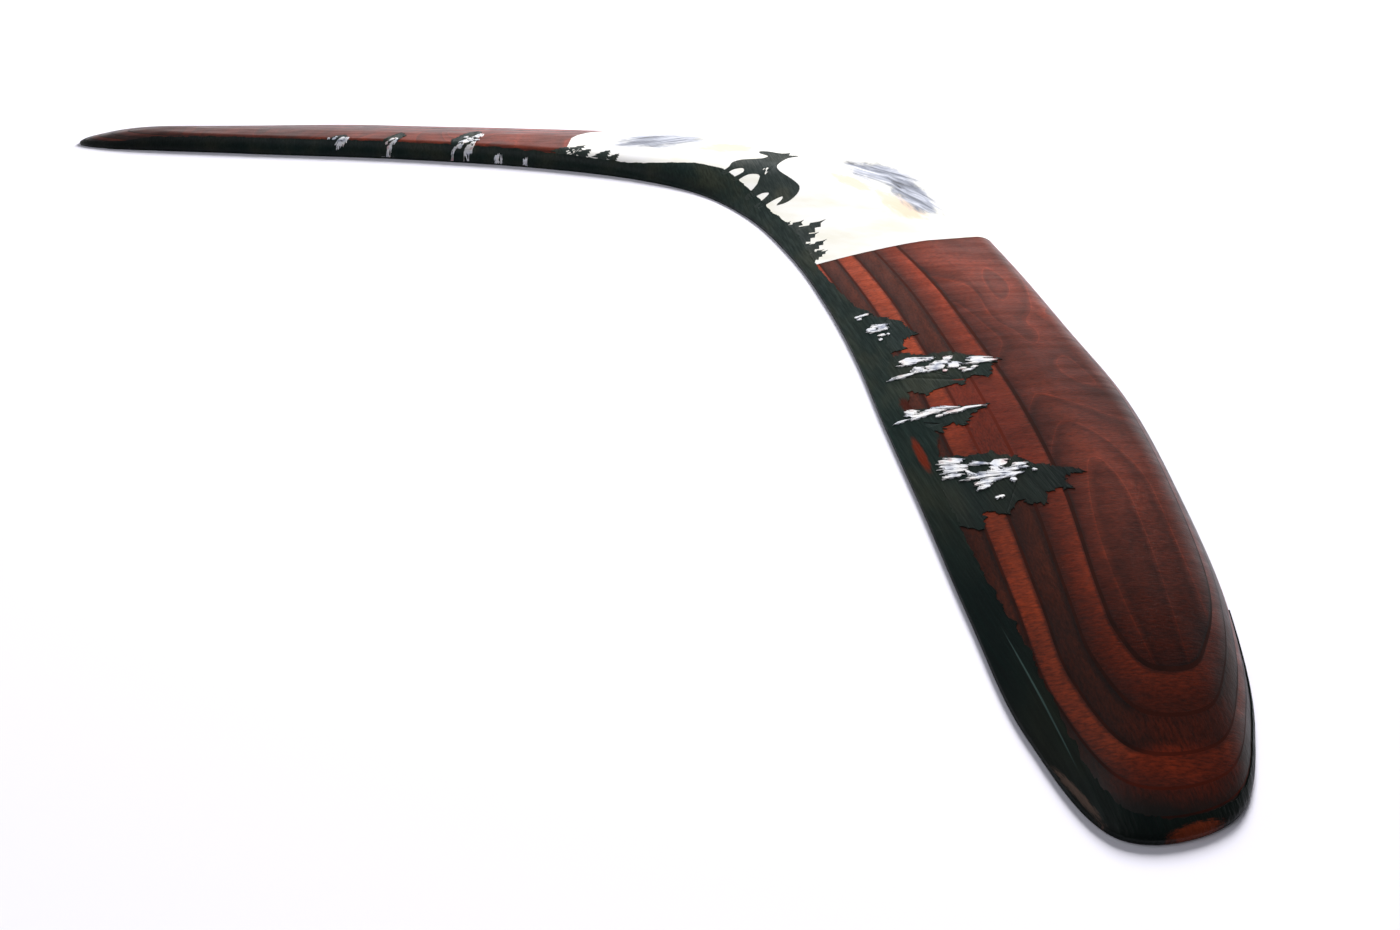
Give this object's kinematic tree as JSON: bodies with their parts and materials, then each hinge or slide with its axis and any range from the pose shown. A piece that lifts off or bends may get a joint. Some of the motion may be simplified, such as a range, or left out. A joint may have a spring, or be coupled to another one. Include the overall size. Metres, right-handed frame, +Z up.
{
  "type": "returning boomerang",
  "caption": "Right-handed plywood returning boomerang: cross-laid wood veneers bonded by glue film, cut to an aerofoil with a blunt leading edge and a long trailing bevel.",
  "frame": {"origin": "centre of the bounding box at its base, on the flat underside", "axes": "+X from wing tip to wing tip, towards the wing that leads with its outer edge; +Y towards the elbow; +Z up through the thickness"},
  "size_m": [0.5, 0.2246, 0.0066],
  "materials": {
    "face_wood": "dark red-brown stained face veneer, satin varnish",
    "cross_wood": "orange-brown stained cross-grain veneer, satin varnish",
    "long_wood": "dark brown stained long-grain veneer, satin varnish",
    "glue": "cured dark phenolic glue film",
    "paint_white": "brushed white acrylic paint under satin varnish",
    "paint_dark": "brushed green-black acrylic paint under satin varnish"
  },
  "bodies": {
    "root": {"face_veneer": "face_wood", "glue_film_6": "glue", "upper_cross_veneer": "cross_wood", "glue_film_5": "glue", "upper_long_veneer": "long_wood", "glue_film_4": "glue", "core_veneer": "cross_wood", "glue_film_3": "glue", "lower_long_veneer": "long_wood", "glue_film_2": "glue", "lower_cross_veneer": "cross_wood", "glue_film_1": "glue", "back_veneer": "face_wood"}
  },
  "joints": []
}
